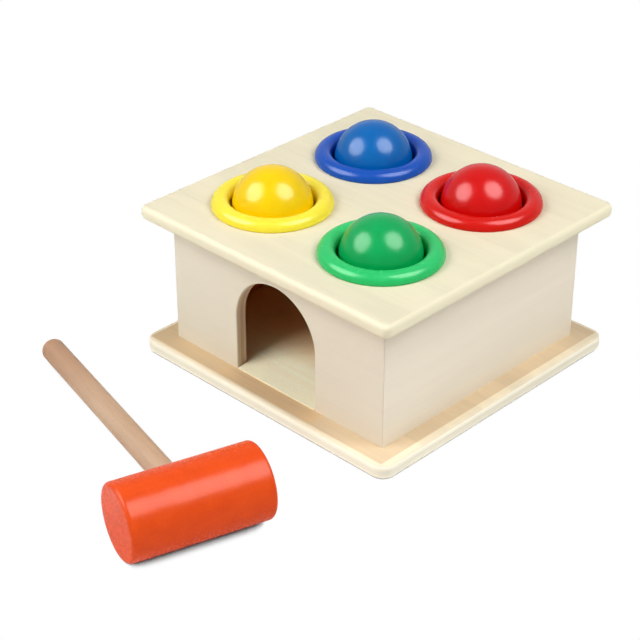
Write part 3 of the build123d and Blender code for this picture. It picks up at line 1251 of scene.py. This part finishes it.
@dataclass
class Studio:
    """Pale floor, soft lights and the camera at the photograph's angle."""

    azimuth: float = math.radians(44.41)
    elevation: float = math.radians(31.22)
    distance: float = 1036.2 * MM
    target: Vector = field(default_factory=lambda: Vector((-22.37, -21.91, 18.33)) * MM)
    photo_side: float = 640.0
    focal_pixels: float = 1814.82
    sensor: float = 36.0
    floor_half: float = 2.5
    sky_strength: float = 0.15
    sky_shown: float = 1.0
    floor_colour: Colour = (0.84, 0.84, 0.84)
    # Dark red-brown of the painted contact shadow on the floor.
    painted_contact_shadow: Colour = shade(52, 18, 18)
    contact_reach: float = 50 * MM
    contact_span: Span = (0.16, 0.28)
    lamps: tuple[Lamp, ...] = (
        Lamp("left_lamp", Role.LIGHT, (-0.30, -0.68, 0.67), 1.0, 1.0, 17.6),
        Lamp("right_lamp", Role.LIGHT, (0.57, 0.18, 0.80), 1.0, 1.0, 17.4),
        Lamp("left_card", Role.MIRRORED, (-0.42, -0.60, 0.68), 1.3, 1.13, 62.0, 1.45),
        Lamp("right_card", Role.MIRRORED, (0.53, 0.16, 0.83), 1.15, 1.15, 58.0, 1.45),
    )

    def camera(self) -> None:
        """Places the camera."""
        back = Vector(
            (
                math.sin(self.azimuth) * math.cos(self.elevation),
                -math.cos(self.azimuth) * math.cos(self.elevation),
                math.sin(self.elevation),
            )
        )
        data = bpy.data.cameras.new("photo_camera")
        data.sensor_width = self.sensor
        data.lens = self.focal_pixels * self.sensor / self.photo_side
        camera = link("photo_camera", data)
        camera.location = self.target + back * self.distance
        camera.rotation_euler = (-back).to_track_quat("-Z", "Y").to_euler()
        bpy.context.scene.camera = camera

    def sky(self) -> None:
        """Lights the scene evenly, and shows plain white behind it."""
        world = bpy.data.worlds.new("studio")
        bpy.context.scene.world = world
        sheet = NodeSheet(world)
        path = sheet.node("LightPath", {})
        is_shown = path.outputs["Is Camera Ray"]
        for ray in ("Is Glossy Ray", "Is Transmission Ray"):
            is_shown = sheet.math("MAXIMUM", is_shown, path.outputs[ray])
        inputs = {0: is_shown, 2: self.sky_strength, 3: self.sky_shown}
        strength = sheet.node("Mix", inputs).outputs[0]
        glow = sheet.node("Background", {"Color": WHITE, "Strength": strength})
        sheet.node("OutputWorld", {"Surface": glow.outputs[0]})

    def floor(self) -> None:
        """Lays the floor, which shows white to the camera but for a painted contact shadow at each
        contact, dark where ambient occlusion closes in.
        """
        bm = bmesh.new()
        bmesh.ops.create_grid(bm, x_segments=1, y_segments=1, size=self.floor_half)
        mesh = bpy.data.meshes.new("floor")
        bm.to_mesh(mesh)
        bm.free()
        floor = link("floor", mesh)
        material = bpy.data.materials.new("white_floor")
        sheet = NodeSheet(material)
        is_seen = sheet.node("LightPath", {}).outputs["Is Camera Ray"]
        # Camera rays see emitted white, blended to the painted contact shadow where ambient
        # occlusion closes in.
        openness = sheet.node("AmbientOcclusion", {"Distance": self.contact_reach}).outputs["AO"]
        is_open = sheet.rise(openness, *self.contact_span)
        seen = sheet.blend(is_open, self.painted_contact_shadow, WHITE)
        glow = sheet.node("Emission", {"Color": seen, "Strength": 1.0}).outputs[0]
        matt = sheet.node("BsdfDiffuse", {"Color": self.floor_colour}).outputs[0]
        mixed = sheet.node("MixShader", {0: is_seen, 1: matt, 2: glow}).outputs[0]
        sheet.node("OutputMaterial", {"Surface": mixed})
        mesh.materials.append(material)

    def build(self) -> None:
        """Sets up the whole studio."""
        bpy.context.scene.view_settings.view_transform = "Standard"
        self.camera()
        for lamp in self.lamps:
            lamp.hang()
        self.sky()
        self.floor()


COLLAR_COLOURS = {
    Paint.BLUE: (shade(18, 79, 177), shade(14, 71, 169)),
    Paint.YELLOW: (shade(246, 228, 64), shade(241, 219, 54)),
    Paint.GREEN: (shade(44, 194, 107), shade(36, 184, 98)),
    Paint.RED: (shade(208, 18, 7), shade(200, 14, 5)),
}
BALL_COLOURS = {
    Paint.BLUE: (shade(0, 100, 176), shade(0, 94, 170)),
    Paint.YELLOW: (shade(243, 205, 2), shade(239, 197, 0)),
    Paint.GREEN: (shade(5, 164, 86), shade(2, 156, 79)),
    Paint.RED: (shade(206, 10, 9), shade(200, 8, 7)),
}


def main() -> None:
    """Builds every sub-assembly in order."""
    logging.basicConfig(level=logging.INFO, format="%(name)s: %(message)s")
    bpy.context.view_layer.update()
    Studio().build()
    Boards().build()
    Walls().build()
    Ramp().build()
    for paint in Paint:
        Collar(paint, *COLLAR_COLOURS[paint]).build()
        Ball(paint, *BALL_COLOURS[paint]).build()
    Mallet().build()


if __name__ == "__main__":
    main()
